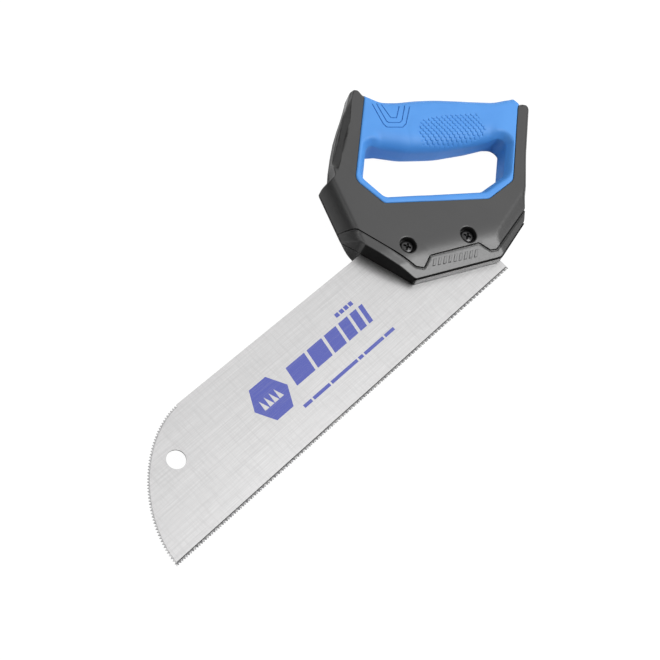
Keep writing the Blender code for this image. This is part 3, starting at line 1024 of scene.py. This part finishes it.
PANEL_LINE = dense(rounded(PANEL), 1.5)
CHEVRON_LINES = [dense(rounded(c, closed=False), 0.7, False) for c in CHEVRONS]


def grip_piece():
    loops = [FRAME_LINE, BACK_LINE, OPEN_LINE]
    lines = []
    for d in (0.05, 0.18, 0.4, 0.75, 1.2, 1.8, 2.6, 3.6, 4.8, 6.2, 7.6, 9.0):
        lines += [r for r in trimmed(inward(BACK_LINE, d), BACK_LINE, d)]
    for d in (0.05, 0.18, 0.4, 0.75, 1.2, 1.8, 2.6, 3.6, 4.8, 6.2, 7.8, 9.6, 11.4):
        lines += [r for r in trimmed(inward(OPEN_LINE, -d), OPEN_LINE, -d)]
    for d in (0.1, 0.3, 0.7, 1.1):
        lines += [r for r in trimmed(inward(FRAME_LINE, d), FRAME_LINE, d)]
    for line in CHEVRON_LINES:
        for d in (-0.34, -0.2, -0.08, 0.08, 0.2, 0.34):
            lines.append(moved(line, d, False))

    def keep(p):
        return within(p, FRAME_LINE) & within(p, BACK_LINE) & ~within(p, OPEN_LINE)

    lines = [part for line in lines for part in cut_to(line, keep, 0.6)]
    grid = hexgrid((255, 38), (425, 165), 1.2)
    scales = np.array(SCALES)
    middle = scales.mean(0)
    fine = hexgrid(tuple(scales.min(0) - 2), tuple(scales.max(0) + 2), 0.27)
    fine = fine[inset(fine, scales) > -1.2]
    grid = grid[(inset(grid, scales) < -1.4)]
    del middle
    points = np.vstack([grid, fine])
    points = points[keep(points)]
    stack = np.vstack([l for l in loops] + [l for l in lines])
    gap = nearest(points, stack)
    in_scales = inset(points, scales) > -1.2
    points = points[(gap > 0.6) | (in_scales & (gap > 0.1))]
    plan, tris = triangulated(loops, lines, points, keep)
    top = grip_top(plan)

    def rows(p, low, high):
        out = []
        for share in (0.93, 0.75, 0.5, 0.25, 0.07):
            out.append((low + (high - low) * share, 0.0))
        return out

    return solid("soft_grip_moulded", plan, tris, top, -top, rows, [BLUE], angle=50)


def trimmed(points, line, by):
    """Runs of an offset line that really are at that distance."""
    good = np.abs(inset(points, line) - by) < 0.02 + 0.03 * abs(by)
    runs, run = [], []
    for point, ok in zip(points, good):
        if ok:
            run.append(point)
        else:
            if len(run) > 1:
                runs.append(np.array(run))
            run = []
    if len(run) > 1:
        if good.all():
            run.append(run[0])
        runs.append(np.array(run))
    return runs


def cut_to(line, keep, reach):
    """The runs of a line inside a region, or just outside it."""
    near = keep(line)
    near = near | np.r_[near[1:], False] | np.r_[False, near[:-1]]
    runs, run = [], []
    for point, ok in zip(line, near):
        if ok:
            run.append(point)
        else:
            if len(run) > 1:
                runs.append(np.array(run))
            run = []
    if len(run) > 1:
        runs.append(np.array(run))
    return runs


# ------------------------------------------------------------------- fasteners
def screw_piece(which, at):
    head_r, seat, top_z = 4.8, 7.9, 11.1
    end = -12.2
    turn = math.radians(28.0)
    across = np.array([[math.cos(turn), math.sin(turn)], [-math.sin(turn), math.cos(turn)]])
    grid = hexgrid((at[0] - 5, at[1] - 5), (at[0] + 5, at[1] + 5), 0.2)
    grid = grid[np.hypot(*(grid - at).T) < 3.4]
    loops = [circle(at, head_r, 64)]
    lines = []
    for r in (4.76, 4.68, 4.5, 4.25, 3.9, 3.55):
        c = circle(at, r, 64)
        lines.append(np.vstack([c, c[:1]]))

    def keep(p):
        return np.hypot(*(p - at).T) < head_r

    plan, tris = triangulated(loops, lines, grid, keep)
    r = np.hypot(*(plan - at).T)
    z = top_z - 0.95 * (r / head_r) ** 2 - drop(np.maximum(head_r - r, 0), 1.5, 1.25)
    q = (plan - at) @ across.T
    wing = np.zeros(len(plan))
    for i in (0, 1):
        along, beside = np.abs(q[:, i]), np.abs(q[:, 1 - i])
        half = 0.62 - 0.05 * along
        reach = 1 - smooth(along, 2.3, 2.75)
        wing = np.maximum(wing, (1 - smooth(beside, half - 0.12, half + 0.12)) * reach * (2.9 - 0.6 * along))
    core = 3.0 * (1 - smooth(r, 0.75, 1.1))
    z = z - np.maximum(wing, core)
    under = np.full(len(plan), seat)

    def rows(p, low, high):
        return [(low + (high - low) * 0.6, 0.0), (low + 0.2, 0.0)]

    head = solid(f"{which}_screw_head", plan, tris, z, under, rows, [BOLT], angle=40)
    # shank with a rolled thread, as one turned body
    d, pitch, sides = 2.2, 0.8, 24
    verts, faces = [], []
    steps = int((seat + 0.2 - end) / (pitch / 8))
    for k in range(steps + 1):
        zk = seat + 0.2 - (seat + 0.2 - end) * k / steps
        for s in range(sides):
            t = 2 * math.pi * s / sides
            phase = (zk / pitch + s / sides) % 1.0
            depth = 0.22 * abs(2 * phase - 1) if zk < 2.0 else 0.0
            rk = d - depth
            if zk < end + 0.6:
                rk -= 0.6 - (zk - end)
            verts.append((at[0] + rk * math.cos(t), at[1] + rk * math.sin(t), zk))
    for k in range(steps):
        for s in range(sides):
            a, b = k * sides + s, k * sides + (s + 1) % sides
            faces.append((a, a + sides, b + sides, b))
    faces.append(tuple(range(sides)))
    faces.append(tuple(reversed(range(steps * sides, (steps + 1) * sides))))
    shank = piece(f"{which}_screw_shank", verts, faces, [BOLT], None, 40)
    return head, shank


def nut_piece(which, at):
    half, high, low = 4.0, -7.9, -11.9
    outer = hexagon(at, half, 0.5)
    bore = circle(at, 2.45, 32)
    lines = []
    for r in (3.86, 3.5):
        c = hexagon(at, r, 0.5)
        lines.append(np.vstack([c, c[:1]]))
    for r in (2.6, 3.0):
        c = circle(at, r, 32)
        lines.append(np.vstack([c, c[:1]]))

    def keep(p):
        return (hex_radius(p, at) < half) & (np.hypot(*(p - at).T) > 2.45)

    plan, tris = triangulated([outer, bore], lines, np.zeros((0, 2)), keep)
    r = np.hypot(*(plan - at).T)
    cut = np.maximum(0.0, r - 4.0) * 0.55 + np.maximum(0, 2.75 - r) * 1.0
    top = high - cut
    bottom = low + cut

    def rows(p, lo, hi):
        return [((lo + hi) / 2, 0.0)]

    return solid(f"{which}_hex_nut_plated", plan, tris, top, bottom, rows, [NUT], angle=25)


# --------------------------------------------------------------------- assemble
STEEL = steel("blade_ground_steel")
INK = ink("blade_print_ink", (0.036, 0.050, 0.27))
HARD = hardened("blade_hardened_teeth", 1.25)
GRIND = hardened("blade_grind_line", 0.16)
NOSE = steel("blade_nose_teeth", (0.32, 0.318, 0.32))
BLACK_UP = black_plastic("upper_shell_plastic")
BLACK_DOWN = black_plastic("lower_shell_plastic")
# a darker, less glossy copy of the black plastic: painted shade for the plate's wall towards the blade
SHADED_WALL_PLASTIC = black_plastic("shell_wall_painted_shade_plastic", 0.0038, 0.5, 0.18)
BLUE = blue_rubber("grip_elastomer")
BOLT = black_steel("screw_black_oxide")
NUT = zinc("nut_zinc")

blade = blade_piece()
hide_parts("saw_blade")
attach(blade, "root")

for side, which in ((1, "upper"), (-1, "lower")):
    shell = shell_piece(f"{which}_shell_moulded", side)
    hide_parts(f"{which}_handle_shell")
    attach(shell, "root")

grip = grip_piece()
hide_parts("soft_grip")
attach(grip, "root")

for which, at in SCREWS:
    head, shank = screw_piece(which, np.array(at))
    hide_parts(f"{which}_screw")
    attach(head, "root")
    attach(shank, "root")
    nut = nut_piece(which, np.array(at))
    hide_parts(f"{which}_hex_nut")
    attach(nut, "root")


# ----------------------------------------------------------------- studio set
def studio():
    """A plain white floor. Seen directly it is evenly lit, as over a light
    table, with only a trace of shadow; what it gives to the saw is dimmer."""
    s = Shade("studio_floor_paper")
    at = s.coords()
    tooth = s.noise(at, 700.0, 2.0, 0.5)
    tone = s.noise(at, 2.2, 2.0, 0.5)
    s.set(Base_Color=s.mix(s.remap(tone, 0.3, 0.7, 0.0, 1.0), (0.80, 0.80, 0.80), (0.83, 0.83, 0.83)))
    s.set(Roughness=s.remap(tooth, 0.3, 0.7, 0.75, 0.9))
    s.set(Specular_IOR_Level=0.1)
    s.set(Normal=s.bump(tooth, 0.05, 0.0001))
    table = s.node("ShaderNodeEmission")
    table.inputs["Color"].default_value = (1.0, 1.0, 1.0, 1.0)
    table.inputs["Strength"].default_value = 1.05
    path = s.node("ShaderNodeLightPath")
    share = s.maths("MULTIPLY", path.outputs["Is Camera Ray"], 0.94)
    blend = s.node("ShaderNodeMixShader")
    s.link(share, blend.inputs[0])
    s.link(s.bsdf.outputs[0], blend.inputs[1])
    s.link(table.outputs[0], blend.inputs[2])
    s.link(blend.outputs[0], s.tree.nodes["Material Output"].inputs["Surface"])
    half = 30.0
    mesh = bpy.data.meshes.new("studio_floor")
    z = -0.0004
    mesh.from_pydata(
        [(-half, -half, z), (half, -half, z), (half, half, z), (-half, half, z)], [], [(0, 1, 2, 3)]
    )
    mesh.materials.append(s.mat)
    floor = bpy.data.objects.new("studio_floor", mesh)
    SCENE.collection.objects.link(floor)


def softbox(name, towards, reach, size, power, colour=(1, 1, 1)):
    """An area light in a direction from the saw, facing it."""
    way = Vector(towards).normalized()
    lamp = bpy.data.lights.new(name, "AREA")
    lamp.shape = "RECTANGLE"
    lamp.size, lamp.size_y = size
    lamp.energy = power
    lamp.color = colour
    obj = bpy.data.objects.new(name, lamp)
    centre = Vector((0.06, 0.0, 0.01))
    obj.location = centre + way * reach
    obj.rotation_euler = (-way).to_track_quat("-Z", "Y").to_euler()
    SCENE.collection.objects.link(obj)
    return obj


def sky():
    """A broad soft light over the far side of the saw, dim elsewhere."""
    world = bpy.data.worlds.new("studio_world")
    world.use_nodes = True
    tree = world.node_tree
    at = tree.nodes.new("ShaderNodeTexCoord")
    dot = tree.nodes.new("ShaderNodeVectorMath")
    dot.operation = "DOT_PRODUCT"
    dot.inputs[1].default_value = (0.498, 0.131, 0.857)
    glow = tree.nodes.new("ShaderNodeMapRange")
    glow.interpolation_type = "SMOOTHSTEP"
    for key, value in (("From Min", 0.42), ("From Max", 0.97), ("To Min", SKY_LOW), ("To Max", SKY_HIGH)):
        glow.inputs[key].default_value = value
    tree.links.new(at.outputs["Generated"], dot.inputs[0])
    tree.links.new(dot.outputs["Value"], glow.inputs["Value"])
    background = tree.nodes["Background"]
    tree.links.new(glow.outputs["Result"], background.inputs["Strength"])
    background.inputs["Color"].default_value = (1.0, 1.0, 1.0, 1.0)
    SCENE.world = world


SKY_LOW, SKY_HIGH = 0.06, 1.65
studio()
sky()
softbox("key_softbox", (0.26, -0.50, 0.83), 1.6, (0.9, 0.9), 22.5)
softbox("fill_softbox", (-0.62, 0.40, 0.68), 1.6, (0.7, 0.7), 6.5)

# --------------------------------------------------------------------- camera
RIGHT = Vector((0.66252, -0.69529, 0.27864))
DOWN = Vector((-0.55942, -0.70667, -0.43321))
FORWARD = Vector((0.49811, 0.13113, -0.85714))
lens = bpy.data.cameras.new("camera")
lens.sensor_width = 36.0
lens.lens = 72.36
lens.clip_start, lens.clip_end = 0.01, 100.0
lens.dof.use_dof = False
camera = bpy.data.objects.new("camera", lens)
SCENE.collection.objects.link(camera)
turn = Matrix((RIGHT, -DOWN, -FORWARD)).transposed()
camera.matrix_world = Matrix.Translation(Vector((-0.43965, -0.14151, 0.71687))) @ turn.to_4x4()
SCENE.camera = camera
